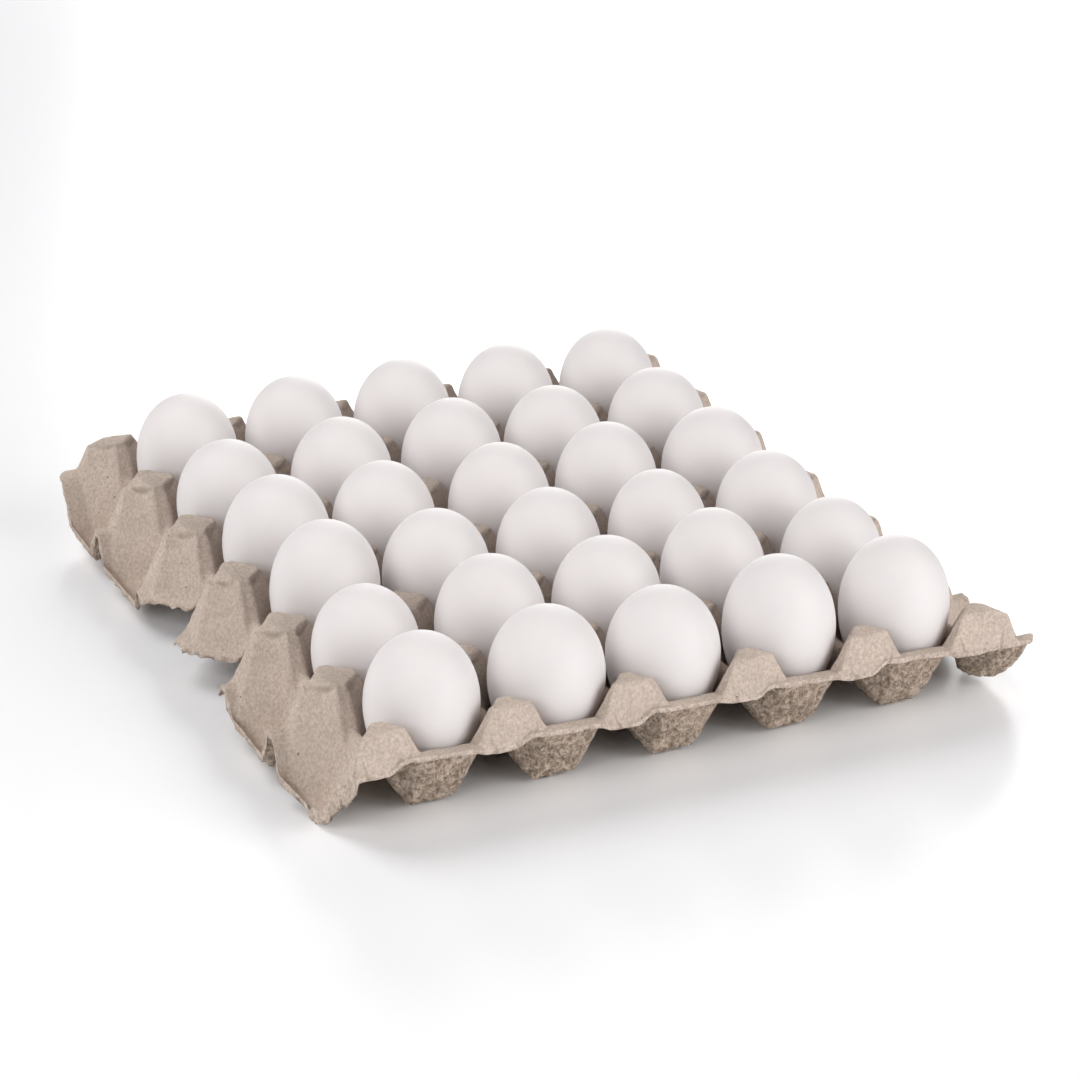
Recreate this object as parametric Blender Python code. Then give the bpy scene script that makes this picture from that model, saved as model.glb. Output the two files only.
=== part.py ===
"""Egg tray of moulded paper pulp, five cells wide and six deep, with its thirty white eggs.

Metres, +Z up. The origin is at the middle of the tray, on the surface that it stands on. X runs along the
five cells of the front edge and +Y runs away from it.
"""

import math

import bmesh
import bpy
from mathutils import Matrix, Vector
from mathutils.bvhtree import BVHTree

MM = 0.001

# Tray
COLUMNS = 5
ROWS = 6
PITCH = 47.5 * MM
WALL = 2.0 * MM
POST_TOP = 41.0 * MM
SADDLE = 27.0 * MM
POST_INRADIUS = 6.6 * MM
POST_SLOPE = 2.1
FLOOR_INRADIUS = 8.8 * MM
FLOOR_CORNER = 6.8 * MM
CUP_SLOPE = 1.75
RIDGE_HALF_WIDTH = 0.7 * MM

# Dish that an egg needs in each cup: its half width, its half height and the height of its middle
DISH_RADIUS = 21.3 * MM
DISH_HALF_HEIGHT = 29.5 * MM
DISH_MIDDLE = 35.5 * MM

# Front and back edges, cut steeply through a row of posts, with a rim that rises in front of each egg
EDGE_REACH = 146.6 * MM
EDGE_BREAK = 145.5 * MM
EDGE_SLOPE = 4.0
EDGE_NARROWING = 1.3
EDGE_RISE = 4.0 * MM

# Side edges, a row of shallow pockets outside the outer posts
SIDE_REACH = 143.0 * MM
POCKET_FLOOR = 4.0 * MM
POCKET_WALL_SLOPE = 2.1
POCKET_END_SLOPE = 1.35
POCKET_END = 6.0 * MM
POCKET_RIM_START = 137.2 * MM
POCKET_RIM_SLOPE = 1.25

# Finger grips, V notches through the two middle pockets of each side
GRIP_ROWS = (2, 3)
GRIP_REACH = 28.8 * MM
TONGUE_HALF_WIDTH = 5.0 * MM

# Grid lines, as distances from the middle of a post
TOP_LINE = 9.3 * MM
FLOOR_LINE = PITCH / 2 - FLOOR_INRADIUS
HALF_PITCH = PITCH / 2

# Two places in the plan closer than this are one
NEAR = 0.1 * MM

# Eggs
EGG_GIRTH = 41.0 * MM
EGG_LENGTH = 57.6 * MM
EGG_TAPER = 0.09
EGG_SIDES = 14
EGG_BANDS = 9
EGG_GAP = 0.35 * MM
GIRTH_STEP = 0.5 * MM
LENGTH_STEP = 0.8 * MM
LEAN_STEP = math.radians(0.9)

# One digit an egg, a row of the tray to a line, the front row first. 5 is the common size, or upright.
GIRTHS = ("57665", "25531", "55414", "64456", "55555", "55555")
LENGTHS = ("54398", "25384", "64564", "55573", "35534", "66766")
LEANS = ("56446", "36617", "95434", "83656", "56744", "54555")

PULP_COLOUR = (0.49, 0.41, 0.34, 1)
SHELL_COLOUR = (0.86, 0.83, 0.82, 1)


def clear_scene():
    for old in list(bpy.data.objects):
        bpy.data.objects.remove(old, do_unlink=True)


def material(name, colour, roughness):
    made = bpy.data.materials.new(name)
    made.use_nodes = True
    shader = made.node_tree.nodes["Principled BSDF"]
    shader.inputs["Base Color"].default_value = colour
    shader.inputs["Roughness"].default_value = roughness
    shader.inputs["Metallic"].default_value = 0.0
    made.diffuse_color = colour
    return made


def new_object(name, mesh, finish):
    made = bpy.data.objects.new(name, mesh)
    made.data.materials.append(finish)
    bpy.context.scene.collection.objects.link(made)
    return made


def from_post(value, count):
    """Distance along one axis to the nearest line of posts. Past the last line it goes on growing."""
    half = count / 2
    line = min(max(round(value / PITCH + half), 0), count) - half
    return abs(value - line * PITCH)


def cup_line(value, count):
    """Where, along one axis, the nearest line of cup middles runs."""
    half = (count - 1) / 2
    return (min(max(round(value / PITCH + half), 0), count - 1) - half) * PITCH


def from_cup(value, count):
    return abs(value - cup_line(value, count))


def at_edge(y):
    """Whether a point lies on or past the middle line of the front or the back row of posts."""
    return abs(y) > ROWS / 2 * PITCH - NEAR


def lowered(height, slope, depth):
    """A plane of that slope, moved in by a depth measured square to it."""
    return height - depth * math.sqrt(1 + slope * slope)


def post_height(x, y, depth):
    """The four flat sides of a post, its level top, and the steep cut of the front and back rows."""
    beside = from_post(x, COLUMNS) * (EDGE_NARROWING if at_edge(y) else 1)
    spread = (beside + from_post(y, ROWS)) / math.sqrt(2)
    side = lowered(POST_TOP - (spread - POST_INRADIUS) * POST_SLOPE, POST_SLOPE, depth)
    cut = lowered(SADDLE + (EDGE_BREAK - abs(y)) * EDGE_SLOPE, EDGE_SLOPE, depth)
    return min(side, max(cut, SADDLE - depth), POST_TOP - depth)


def cup_height(x, y, depth):
    """The walls of a cup, up to the level ridge that it shares with the next, or to the edge's raised rim."""
    if at_edge(y):
        return SADDLE + EDGE_RISE * max(1 - from_cup(x, COLUMNS) / (HALF_PITCH - TOP_LINE), 0) - depth
    spread = max(from_cup(x, COLUMNS), from_cup(y, ROWS))
    wall = lowered(WALL + (spread - FLOOR_INRADIUS) * CUP_SLOPE, CUP_SLOPE, depth)
    return min(wall, SADDLE - depth)


def dish_height(x, y, depth):
    """The hollow that clears an egg, as high as the post tops outside the egg's own width."""
    spread = math.hypot(from_cup(x, COLUMNS), from_cup(y, ROWS))
    if spread >= DISH_RADIUS:
        return POST_TOP
    drop = math.sqrt(1 - (spread / DISH_RADIUS) ** 2)
    slope = DISH_HALF_HEIGHT * spread / (DISH_RADIUS**2 * drop)
    return lowered(DISH_MIDDLE - DISH_HALF_HEIGHT * drop, min(slope, POST_SLOPE), depth)


def pocket_height(x, y, depth):
    """The shallow pockets past the outer posts: inner wall, raised rim and, at the corners, an end wall."""
    out = abs(x) - COLUMNS / 2 * PITCH
    beside = from_cup(y, ROWS)
    inner = SADDLE - (out - RIDGE_HALF_WIDTH) * POCKET_WALL_SLOPE
    rim = POCKET_FLOOR + (abs(x) - POCKET_RIM_START) * POCKET_RIM_SLOPE
    height = max(
        lowered(inner, POCKET_WALL_SLOPE, depth), lowered(rim, POCKET_RIM_SLOPE, depth), POCKET_FLOOR - depth
    )
    if abs(y) > (ROWS - 1) / 2 * PITCH:
        end = POCKET_FLOOR + (beside - POCKET_END) * POCKET_END_SLOPE
        height = max(height, lowered(end, POCKET_END_SLOPE, depth))
    return min(height, SADDLE - depth)


def tray_height(x, y, depth=0.0):
    """Height of the tray's upper face at a point, or of the face that lies depth under it."""
    post = post_height(x, y, depth)
    if abs(x) > COLUMNS / 2 * PITCH:
        return max(post, pocket_height(x, y, depth))
    surface = min(max(post, cup_height(x, y, depth)), dish_height(x, y, depth))
    return max(surface, WALL - depth)


def grid_lines(count, beyond):
    """Lines across the tray: those of each cell, and those past the outer posts on both sides."""
    inside = (0, TOP_LINE, FLOOR_LINE, HALF_PITCH, PITCH - FLOOR_LINE, PITCH - TOP_LINE)
    start = -count / 2 * PITCH
    lines = [start + cell * PITCH + step for cell in range(count) for step in inside]
    lines.append(-start)
    return [start - step for step in reversed(beyond)] + lines + [-start + step for step in beyond]


def in_grip(x, y):
    """Whether a point lies in the part of a side that is cut away for the fingers."""
    row = round(y / PITCH + (ROWS - 1) / 2)
    out = abs(x) - COLUMNS / 2 * PITCH
    return row in GRIP_ROWS and out > 0 and out + from_post(y, ROWS) > GRIP_REACH + NEAR


def settled(x, y):
    """Draws in the corners of the cup floors, and of the tongues beside a grip, which narrow to a tip."""
    across = x - cup_line(x, COLUMNS)
    along = y - cup_line(y, ROWS)
    if max(abs(abs(across) - FLOOR_INRADIUS), abs(abs(along) - FLOOR_INRADIUS)) < NEAR:
        inward = FLOOR_INRADIUS - FLOOR_CORNER
        return x - math.copysign(inward, across), y - math.copysign(inward, along)
    row = round(y / PITCH + (ROWS - 1) / 2)
    beside = from_post(y, ROWS)
    at_tongue = NEAR < beside < TOP_LINE + NEAR
    if row in GRIP_ROWS and at_tongue and abs(x) > SIDE_REACH - NEAR:
        return x, y + math.copysign(TOP_LINE - TONGUE_HALF_WIDTH, round(y / PITCH) * PITCH - y)
    return x, y


def tray_triangles():
    """Points of the plan and the triangles that join them, without those that a finger grip removes."""
    side_steps = (
        GRIP_REACH - HALF_PITCH,
        GRIP_REACH - FLOOR_LINE,
        GRIP_REACH - TOP_LINE,
        SIDE_REACH - COLUMNS / 2 * PITCH,
    )
    edge_steps = (EDGE_BREAK - ROWS / 2 * PITCH, EDGE_REACH - ROWS / 2 * PITCH)
    xs = grid_lines(COLUMNS, side_steps)
    ys = grid_lines(ROWS, edge_steps)
    plan = [settled(x, y) for y in ys for x in xs]
    triangles = []
    for j in range(len(ys) - 1):
        for i in range(len(xs) - 1):
            a = j * len(xs) + i
            b, c, d = a + 1, a + 1 + len(xs), a + len(xs)
            rising = from_post(xs[i + 1], COLUMNS) > from_post(xs[i], COLUMNS)
            outward = from_post(ys[j + 1], ROWS) > from_post(ys[j], ROWS)
            pair = ((a, b, d), (b, c, d)) if rising == outward else ((a, b, c), (a, c, d))
            for triangle in pair:
                x = sum((xs[n % len(xs)] for n in triangle)) / 3
                y = sum((ys[n // len(xs)] for n in triangle)) / 3
                if not in_grip(x, y):
                    triangles.append(triangle)
    return plan, triangles


def outline_edges(triangles):
    """The directed edges that only one triangle has, which are the rim of the sheet."""
    edges = {(t[k], t[(k + 1) % 3]) for t in triangles for k in range(3)}
    return [(a, b) for a, b in sorted(edges) if (b, a) not in edges]


def tray_mesh():
    """The pulp sheet as a closed shell: upper face, under face and the rim that joins them."""
    plan, triangles = tray_triangles()
    used = sorted({n for triangle in triangles for n in triangle})
    shell = bmesh.new()
    upper = {n: shell.verts.new((*plan[n], tray_height(*plan[n]))) for n in used}
    under = {n: shell.verts.new((*plan[n], tray_height(*plan[n], WALL))) for n in used}
    for a, b, c in triangles:
        shell.faces.new((upper[a], upper[b], upper[c]))
        shell.faces.new((under[c], under[b], under[a]))
    for a, b in outline_edges(triangles):
        shell.faces.new((upper[b], upper[a], under[a]))
        shell.faces.new((upper[b], under[a], under[b]))
    mesh = bpy.data.meshes.new("tray")
    shell.to_mesh(mesh)
    shell.free()
    return mesh


def digit(table, row, column):
    """How far an egg's digit lies from the common one."""
    return int(table[row][column]) - 5


def egg_mesh(name, girth, length):
    """An egg standing on its narrow end, its lowest point at the origin."""
    shape = bmesh.new()
    rings = []
    for band in range(1, EGG_BANDS):
        turn = math.pi * band / EGG_BANDS
        height = length / 2 * (1 - math.cos(turn))
        radius = girth / 2 * math.sin(turn) * (1 - EGG_TAPER * math.cos(turn))
        ring = []
        for side in range(EGG_SIDES):
            angle = 2 * math.pi * side / EGG_SIDES
            ring.append(shape.verts.new((radius * math.cos(angle), radius * math.sin(angle), height)))
        rings.append(ring)
    bottom = shape.verts.new((0, 0, 0))
    top = shape.verts.new((0, 0, length))
    for side in range(EGG_SIDES):
        beside = (side + 1) % EGG_SIDES
        shape.faces.new((bottom, rings[0][beside], rings[0][side]))
        shape.faces.new((top, rings[-1][side], rings[-1][beside]))
        for low, high in zip(rings, rings[1:]):
            shape.faces.new((low[side], low[beside], high[beside], high[side]))
    mesh = bpy.data.meshes.new(name)
    shape.to_mesh(mesh)
    shape.free()
    return mesh


def surface_of(mesh, place):
    """A search tree of a mesh's triangles, moved to its place."""
    mesh.calc_loop_triangles()
    points = [place @ v.co for v in mesh.vertices]
    return BVHTree.FromPolygons(points, [tuple(t.vertices) for t in mesh.loop_triangles])


def seat_height(mesh, turn, middle, tray, tray_points):
    """How high an egg's origin must be to lie clear of the tray, tested both ways along the vertical."""
    place = Matrix.Translation((middle[0], middle[1], PITCH)) @ turn
    egg = surface_of(mesh, place)
    gap = EGG_GAP * math.sqrt(1 + POST_SLOPE**2)
    lowest = math.inf
    samples = [place @ v.co for v in mesh.vertices] + [place @ p.center for p in mesh.polygons]
    for point in samples:
        hit = tray.ray_cast(Vector((point.x, point.y, 2 * PITCH)), Vector((0, 0, -1)))[0]
        if hit is not None:
            lowest = min(lowest, point.z - hit.z)
    for point in tray_points:
        if math.hypot(point.x - middle[0], point.y - middle[1]) < PITCH / 2:
            hit = egg.ray_cast(Vector((point.x, point.y, -PITCH)), Vector((0, 0, 1)))[0]
            if hit is not None:
                lowest = min(lowest, hit.z - point.z)
    return PITCH - lowest + gap


def add_egg(row, column, tray, tray_points, finish):
    name = f"egg_{row + 1}{column + 1}"
    girth = EGG_GIRTH + digit(GIRTHS, row, column) * GIRTH_STEP
    length = EGG_LENGTH + digit(LENGTHS, row, column) * LENGTH_STEP
    mesh = egg_mesh(name, girth, length)
    egg = new_object(name, mesh, finish)
    middle = ((column - (COLUMNS - 1) / 2) * PITCH, (row - (ROWS - 1) / 2) * PITCH)
    turn = Matrix.Rotation(digit(LEANS, row, column) * LEAN_STEP, 4, "Y")
    egg.location = (*middle, seat_height(mesh, turn, middle, tray, tray_points))
    egg.rotation_euler = turn.to_euler()
    mesh.shade_smooth()


def main():
    clear_scene()
    pulp = material("moulded_pulp", PULP_COLOUR, 0.95)
    shell = material("eggshell", SHELL_COLOUR, 0.5)
    tray = new_object("tray", tray_mesh(), pulp)
    surface = surface_of(tray.data, Matrix.Identity(4))
    points = [v.co.copy() for v in tray.data.vertices]
    for row in range(ROWS):
        for column in range(COLUMNS):
            add_egg(row, column, surface, points, shell)


main()
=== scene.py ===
# %% [markdown]
# # An open tray of white eggs
#
# The object is a moulded-pulp egg tray, five cups wide and six deep, with an egg standing in every cup.
# This lesson dresses a finished frame: the frame says where each piece is and how large, and every step
# below gives one piece its real surface. The tray comes first, then the eggs, the finishes, the floor, the
# light and the camera.

# %% Load the frame
import math

import bpy
import numpy as np
from mathutils import Matrix, Vector, noise
from mathutils.kdtree import KDTree


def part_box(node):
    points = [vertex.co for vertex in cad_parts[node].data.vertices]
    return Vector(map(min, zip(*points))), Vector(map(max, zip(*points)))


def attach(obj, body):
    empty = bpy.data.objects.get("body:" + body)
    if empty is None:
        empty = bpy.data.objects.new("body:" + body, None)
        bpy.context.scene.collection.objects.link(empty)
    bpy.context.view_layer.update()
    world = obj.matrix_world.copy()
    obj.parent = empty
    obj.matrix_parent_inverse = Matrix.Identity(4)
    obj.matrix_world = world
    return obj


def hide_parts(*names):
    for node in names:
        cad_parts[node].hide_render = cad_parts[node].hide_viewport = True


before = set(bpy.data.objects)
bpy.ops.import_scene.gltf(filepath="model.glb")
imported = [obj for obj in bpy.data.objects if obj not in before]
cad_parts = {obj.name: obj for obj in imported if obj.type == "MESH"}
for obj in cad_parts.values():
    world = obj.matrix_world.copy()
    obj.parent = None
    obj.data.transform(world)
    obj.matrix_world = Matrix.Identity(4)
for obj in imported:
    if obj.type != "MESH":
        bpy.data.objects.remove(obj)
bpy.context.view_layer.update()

# %% [markdown]
# ## Sizes of the tray
#
# Everything on the tray follows from the pitch of its cups. A post stands at every crossing between four
# cups, and a saddle joins each two posts that stand next to each other. The sizes could be read off the
# frame's meshes, but a few driving sizes say more, and the rest follows from them. They are in metres.

# %% Sizes of the tray
MM = 0.001
COLUMNS, ROWS = 5, 6
PITCH = 47.5 * MM
HALF = PITCH / 2
SIDE_POSTS = COLUMNS / 2 * PITCH
EDGE_POSTS = ROWS / 2 * PITCH
LAST_CUPS = (ROWS - 1) / 2 * PITCH
SIDE_REACH = 143.0 * MM
EDGE_REACH = 146.6 * MM
GRIP_REACH = 28.8 * MM
WALL = 2.0 * MM
POST_TOP = 41.0 * MM
SADDLE = 27.0 * MM
lowest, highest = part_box("tray")
print("tray in the frame", [round((high - low) / MM, 1) for low, high in zip(lowest, highest)], "mm")


# %% [markdown]
# ## The sheet of pulp
#
# A pulp tray is one sheet, sucked onto a mould. It could be built cup by cup, but then every seam would
# have to be sewn. Nothing on it is undercut, so a flat grid whose points are lifted does it all in one
# piece. The grid is a primitive with one line of quads for each small step. The steps are finer round the
# posts, where the form bends, and wider in the cups, which the eggs cover.

# %% A flat grid with uneven steps
HALF_STEPS, SIDE_STEPS, EDGE_STEPS = 9, 17, 4
EVENNESS = 0.72


def half_cell(steps):
    """Distances from a post line to a cup line, close together near the post."""
    shares = [k / steps for k in range(steps + 1)]
    return [HALF * (EVENNESS * share + (1 - EVENNESS) * share**2) for share in shares]


def grid_lines(count, half_steps, reach, outer_steps):
    """Where the grid's lines run along one axis, from the middle of the tray outwards and mirrored."""
    near = half_cell(half_steps)
    cell = near + [PITCH - step for step in reversed(near[:-1])]
    first = -count / 2 * PITCH
    lines = [first + k * PITCH + step for k in range(count) for step in cell[:-1]] + [-first]
    outside = [(reach + first) * k / outer_steps for k in range(1, outer_steps + 1)]
    return [first - step for step in reversed(outside)] + lines + [-first + step for step in outside]


def deselect():
    """Nothing stays selected, so that the next operator acts on its own piece alone."""
    for other in list(bpy.context.selected_objects):
        other.select_set(False)


def read_points(sheet):
    points = np.empty(len(sheet.data.vertices) * 3)
    sheet.data.vertices.foreach_get("co", points)
    return points.reshape(-1, 3)


def write_points(sheet, points):
    sheet.data.vertices.foreach_set("co", points.ravel())
    sheet.data.update()


def flat_grid(name, columns, rows):
    """A plane of quads, added as a primitive and then given the uneven steps."""
    deselect()
    bpy.ops.mesh.primitive_grid_add(x_subdivisions=len(columns) - 1, y_subdivisions=len(rows) - 1, size=1)
    sheet = bpy.context.object
    sheet.name = sheet.data.name = name
    points = read_points(sheet)
    across = np.rint((points[:, 0] + 0.5) * (len(columns) - 1)).astype(int)
    along = np.rint((points[:, 1] + 0.5) * (len(rows) - 1)).astype(int)
    points[:, 0] = np.array(columns)[across]
    points[:, 1] = np.array(rows)[along]
    write_points(sheet, points)
    return sheet


column_lines = grid_lines(COLUMNS, HALF_STEPS, SIDE_REACH, SIDE_STEPS)
row_lines = grid_lines(ROWS, HALF_STEPS, EDGE_REACH, EDGE_STEPS)
tray = flat_grid("pulp_tray", column_lines, row_lines)
print("flat sheet", len(tray.data.vertices), "points")

# %% [markdown]
# ## Finger grips
#
# Two V notches are trimmed out of each long side, so that fingers can get under the tray. A Boolean could
# cut them out of the finished tray, but it would leave slivers on the slopes. On a sheet that is
# still flat, a cut is one bisect: the faces of half a cell are selected, and the part past the line goes.


# %% Cut the finger grips
ON_THE_LINE = 0.0001 * MM


def select_faces(sheet, test):
    """Selects, in object mode, the faces whose middle passes the test, and nothing else."""
    mesh = sheet.data
    mesh.vertices.foreach_set("select", [False] * len(mesh.vertices))
    mesh.edges.foreach_set("select", [False] * len(mesh.edges))
    mesh.polygons.foreach_set("select", [bool(test(face.center)) for face in mesh.polygons])


def trim_grip(sheet, side, middle, half):
    """Cuts one straight edge of a V notch. side is -1 or 1, and half says which half of the cell."""
    def in_half(point):
        return point.x * side > SIDE_POSTS and 0 < (point.y - middle) * half < HALF

    deselect()
    bpy.context.view_layer.objects.active = sheet
    sheet.select_set(True)
    select_faces(sheet, in_half)
    bpy.ops.object.mode_set(mode="EDIT")
    apex = (side * (SIDE_POSTS + GRIP_REACH - HALF), middle, 0)
    bpy.ops.mesh.bisect(plane_co=apex, plane_no=(side, -half, 0), clear_outer=True, threshold=ON_THE_LINE)
    bpy.ops.object.mode_set(mode="OBJECT")


for side in (-1, 1):
    for middle in (-HALF, HALF):
        for half in (-1, 1):
            trim_grip(tray, side, middle, half)
print("sheet with its notches", len(tray.data.polygons), "faces")

# %% [markdown]
# The front left corner has lost its point. What is left of it is cut along a slanting line here, and
# folded down with the relief below. The other three corners are blunt. Deleting whole faces would leave
# steps, so these are bisects too. A slanting cut leaves slivers where it passes close to a crossing of
# the grid, so points closer than the slivers' width are merged.

# %% Cut the corners
SLIVER = 0.4 * MM
BLUNT = 4.0 * MM
CORNER_REACH = HALF + 15 * MM
TEAR_FRONT = Vector((-131.5 * MM, -EDGE_REACH, 0))
TEAR_SIDE = Vector((-138.5 * MM, -121 * MM, 0))


def cut_corner(sheet, side, end, place, away):
    """Cuts one corner off along a line. side and end are -1 or 1 and say which corner."""
    def in_corner(point):
        return point.x * side > SIDE_POSTS and point.y * end > EDGE_POSTS - CORNER_REACH

    deselect()
    bpy.context.view_layer.objects.active = sheet
    sheet.select_set(True)
    select_faces(sheet, in_corner)
    bpy.ops.object.mode_set(mode="EDIT")
    bpy.ops.mesh.bisect(plane_co=place, plane_no=away, clear_outer=True, threshold=ON_THE_LINE)
    bpy.ops.mesh.select_all(action="SELECT")
    bpy.ops.mesh.remove_doubles(threshold=SLIVER)
    bpy.ops.object.mode_set(mode="OBJECT")


tear = (TEAR_SIDE - TEAR_FRONT).normalized()
cut_corner(tray, -1, -1, TEAR_FRONT, (-tear.y, tear.x, 0))
for side, end in ((-1, 1), (1, -1), (1, 1)):
    cut_corner(tray, side, end, (side * (SIDE_REACH - BLUNT), end * EDGE_REACH, 0), (side, end, 0))
print("sheet with its corners cut", len(tray.data.polygons), "faces")

# %% [markdown]
# ## The relief
#
# Each form on the tray is a few sloping planes: four for a post, four for a cup, one for the steep trim
# of the front and back edges. They could be extruded one by one, but they meet in hundreds of places. As
# heights over the flat sheet, the higher or the lower of two planes settles every meeting at once.
#
# A smooth maximum lets one plane run into the next over a small round, as wet pulp does. For the
# underside every plane is lowered by the wall's thickness measured square to it, so the two faces can
# never meet.


# %% Rounds between planes
CRISP, FIRM, ROUND, SOFT = 0.8 * MM, 1.2 * MM, 1.5 * MM, 2.0 * MM


def smooth_max(a, b, blend):
    """The higher of two heights, with a round where they cross. blend is the round's size, as a height."""
    share = np.clip(0.5 + 0.5 * (a - b) / blend, 0, 1)
    return a * share + b * (1 - share) + blend * share * (1 - share)


def smooth_min(a, b, blend):
    return -smooth_max(-a, -b, blend)


def beaded_min(a, b, blend, bead):
    """The lower of two heights, with a raised bead along the line where they cross."""
    return smooth_min(a, b, blend) + bead * np.exp(-(((a - b) / (2 * blend)) ** 2))


def ease(value, start, end):
    """0 before start, 1 after end, and an S curve between."""
    share = np.clip((value - start) / (end - start), 0, 1)
    return share * share * (3 - 2 * share)


def lowered(height, slope, depth):
    """A plane of that slope, moved in by a depth measured square to it."""
    return height - depth * math.sqrt(1 + slope * slope)


def post_line(value, count):
    """Where, along one axis, the nearest line of posts runs."""
    half = count / 2
    return (np.clip(np.rint(value / PITCH + half), 0, count) - half) * PITCH


def cup_line(value, count):
    """Where, along one axis, the nearest line of cups runs."""
    half = (count - 1) / 2
    return (np.clip(np.rint(value / PITCH + half), 0, count - 1) - half) * PITCH


print("a round of", ROUND / MM, "mm fills a valley by", round(smooth_max(0.0, 0.0, ROUND) / MM, 2), "mm")

# %% [markdown]
# A post is a four-sided pyramid set cornerwise, with its point cut off flat. The front and back rows are
# cut again by the trim, steeply, just outside the posts' own middle line, and they are narrower there. The
# mould's edges press a thin bead along each ridge, and a groove under the flat top of the side posts.
# Between its ridges each facet sinks in a little, as it does when wet pulp shrinks. Bevels and insets
# could make one such post, but written as heights they come out on every post, however it is trimmed.

# %% Posts
POST_INRADIUS = 7.5 * MM
POST_SLOPE = 2.35
BEVEL_START = 8.4 * MM
BEVEL_SLOPE = 1.82
END_START = 10.6 * MM
END_TOP = 39.5 * MM
END_SLOPE = 2.7
SHOULDER_START = 4.0 * MM
SHOULDER_SLOPE = 0.4
EDGE_BREAK = 145.5 * MM
EDGE_SLOPE = 4.0
EDGE_NARROWING = 0.12
EDGE_ZONE = 8 * MM
TRIM_DROP = 2.6
BEAD = 0.30 * MM
GROOVE, GROOVE_WIDTH, GROOVE_OUT = 1.3 * MM, 0.55 * MM, 0.3 * MM
GROOVE_INNER, GROOVE_OUTER = 4.5 * MM, 6.5 * MM
PRESS_START, PRESS_FULL = -12 * MM, -4 * MM
SINK, SINK_HALF, SINK_SPREAD, SINK_SHIFT = 1.9 * MM, 4.6 * MM, 0.8, 1.2 * MM


def near_edge(y):
    """0 well inside the tray and 1 on the front and back lines of posts."""
    return ease(np.abs(y), EDGE_POSTS - EDGE_ZONE, EDGE_POSTS)


def post_relief(x, y, rim, depth):
    """The post nearest to each place. out is how far a place lies outside the last line of posts."""
    out = np.abs(x) - SIDE_POSTS
    from_x = np.abs(x - post_line(x, COLUMNS)) * (1 + EDGE_NARROWING * near_edge(y) * (out < 0))
    from_y = np.abs(y - post_line(y, ROWS))
    past_top = (from_x + from_y) / math.sqrt(2) - POST_INRADIUS
    along = (from_y - from_x) / math.sqrt(2) + SINK_SHIFT * (out > 0)
    half = SINK_HALF + SINK_SPREAD * np.maximum(past_top, 0)
    sink = SINK * np.maximum(1 - (along / half) ** 2, 0)
    facet = lowered(POST_TOP - past_top * POST_SLOPE, POST_SLOPE, depth) - sink
    beyond = np.where(out > 0, from_y, np.maximum(from_x, from_y))
    bevel = lowered(POST_TOP - (beyond - BEVEL_START) * BEVEL_SLOPE, BEVEL_SLOPE, depth)
    side = beaded_min(facet, bevel, CRISP, BEAD)
    end = lowered(END_TOP - (out - END_START) * END_SLOPE, END_SLOPE, depth)
    side = beaded_min(side, end, CRISP, BEAD)
    top = POST_TOP - np.maximum(out - SHOULDER_START, 0) * SHOULDER_SLOPE - depth
    pressed = ease(out, PRESS_START, PRESS_FULL) * (1 - ease(np.abs(along), GROOVE_INNER, GROOVE_OUTER))
    groove = GROOVE * np.exp(-(((past_top - GROOVE_OUT) / GROOVE_WIDTH) ** 2)) * pressed
    cut = SADDLE + (EDGE_BREAK - np.abs(y)) * EDGE_SLOPE - depth * TRIM_DROP
    trimmed = smooth_max(cut, rim, ROUND)
    return smooth_min(smooth_min(side, top, FIRM) - groove, trimmed, ROUND)


print("a post is", round(float(post_relief(HALF, 0.0, SADDLE, 0.0)) / MM, 1), "mm high")

# %% [markdown]
# A cup is four walls that lean in towards a small round floor. Where two cups meet, their walls stop at
# a level ridge, the saddle. The outer rim springs up just right of each post and sinks slowly to the next.
# A level rim would be simpler, but the real one has this swing, and it shows along the whole front.

# %% Cups
FLOOR_INRADIUS = 7.2 * MM
CUP_SLOPE = 1.75
EDGE_CUP_SLOPE = 1.95
EDGE_RISE = 4.0 * MM
RISE_START, RISE_FULL = 0.0 * MM, 6.5 * MM
RISE_SINK = 0.6
RISE_END, RISE_GONE = 32 * MM, 38 * MM
FLOOR_ROUND = 8.0 * MM
RIM_ROUND = 1.4 * MM
DISH_RADIUS = 21.3 * MM
DISH_HALF_HEIGHT = 29.5 * MM
DISH_MIDDLE = 35.5 * MM


def rim_height(x, y, depth):
    """The saddle's level, raised along the front and back edges between the posts."""
    past = np.mod(x - SIDE_POSTS, PITCH)
    risen = ease(past, RISE_START, RISE_FULL) * (1 - ease(past, RISE_END, RISE_GONE))
    arch = risen * (1 - RISE_SINK * past / PITCH)
    return SADDLE + EDGE_RISE * arch * near_edge(y) * (np.abs(x) < SIDE_POSTS) - depth


def cup_relief(x, y, rim, depth):
    """The four walls of the cup nearest to each place, no higher than the rim."""
    from_x = np.abs(x - cup_line(x, COLUMNS))
    from_y = np.abs(y - cup_line(y, ROWS))
    outer = np.abs(y) > LAST_CUPS
    slope_y = np.where(outer, EDGE_CUP_SLOPE, CUP_SLOPE)
    wall_x = lowered(WALL + (from_x - FLOOR_INRADIUS) * CUP_SLOPE, CUP_SLOPE, depth)
    wall_y = WALL + (from_y - FLOOR_INRADIUS) * slope_y - depth * np.sqrt(1 + slope_y**2)
    return smooth_min(smooth_max(wall_x, wall_y, FIRM), rim, RIM_ROUND)


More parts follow.
